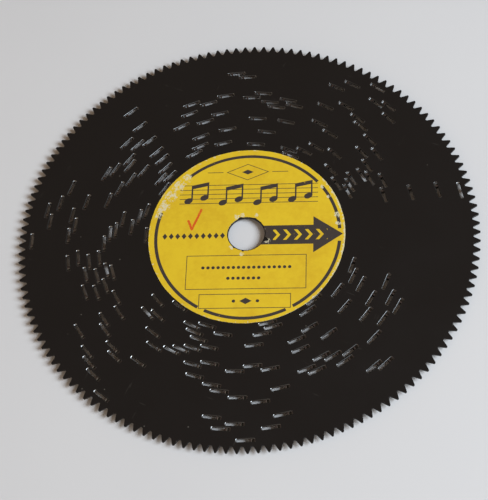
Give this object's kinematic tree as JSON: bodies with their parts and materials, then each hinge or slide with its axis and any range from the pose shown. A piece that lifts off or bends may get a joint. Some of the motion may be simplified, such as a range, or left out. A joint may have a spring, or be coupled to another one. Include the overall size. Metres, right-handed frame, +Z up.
{
  "type": "music box disc",
  "caption": "Stamped steel tune disc for a small disc-playing music box: rim drive teeth, spindle hole, note slots with folded tongues, and a glued paper label.",
  "frame": {"origin": "centre of the spindle hole, in the plane of the sheet's underside; the tongues hang below it", "axes": "+Z up along the spindle through the label; +X through a rim tooth gap, beside which the label's start arrow points; seen from above the tune runs clockwise from it"},
  "size_m": [0.1142, 0.1142, 0.0018],
  "materials": {
    "black_lacquered_steel": "thin semi-gloss black lacquer over stamped steel, worn at the sheared edges",
    "yellow_label_paper": "printed matt paper, scuffed at its edge"
  },
  "bodies": {
    "root": {"music_disc": "black_lacquered_steel", "paper_label": "yellow_label_paper"}
  },
  "joints": []
}
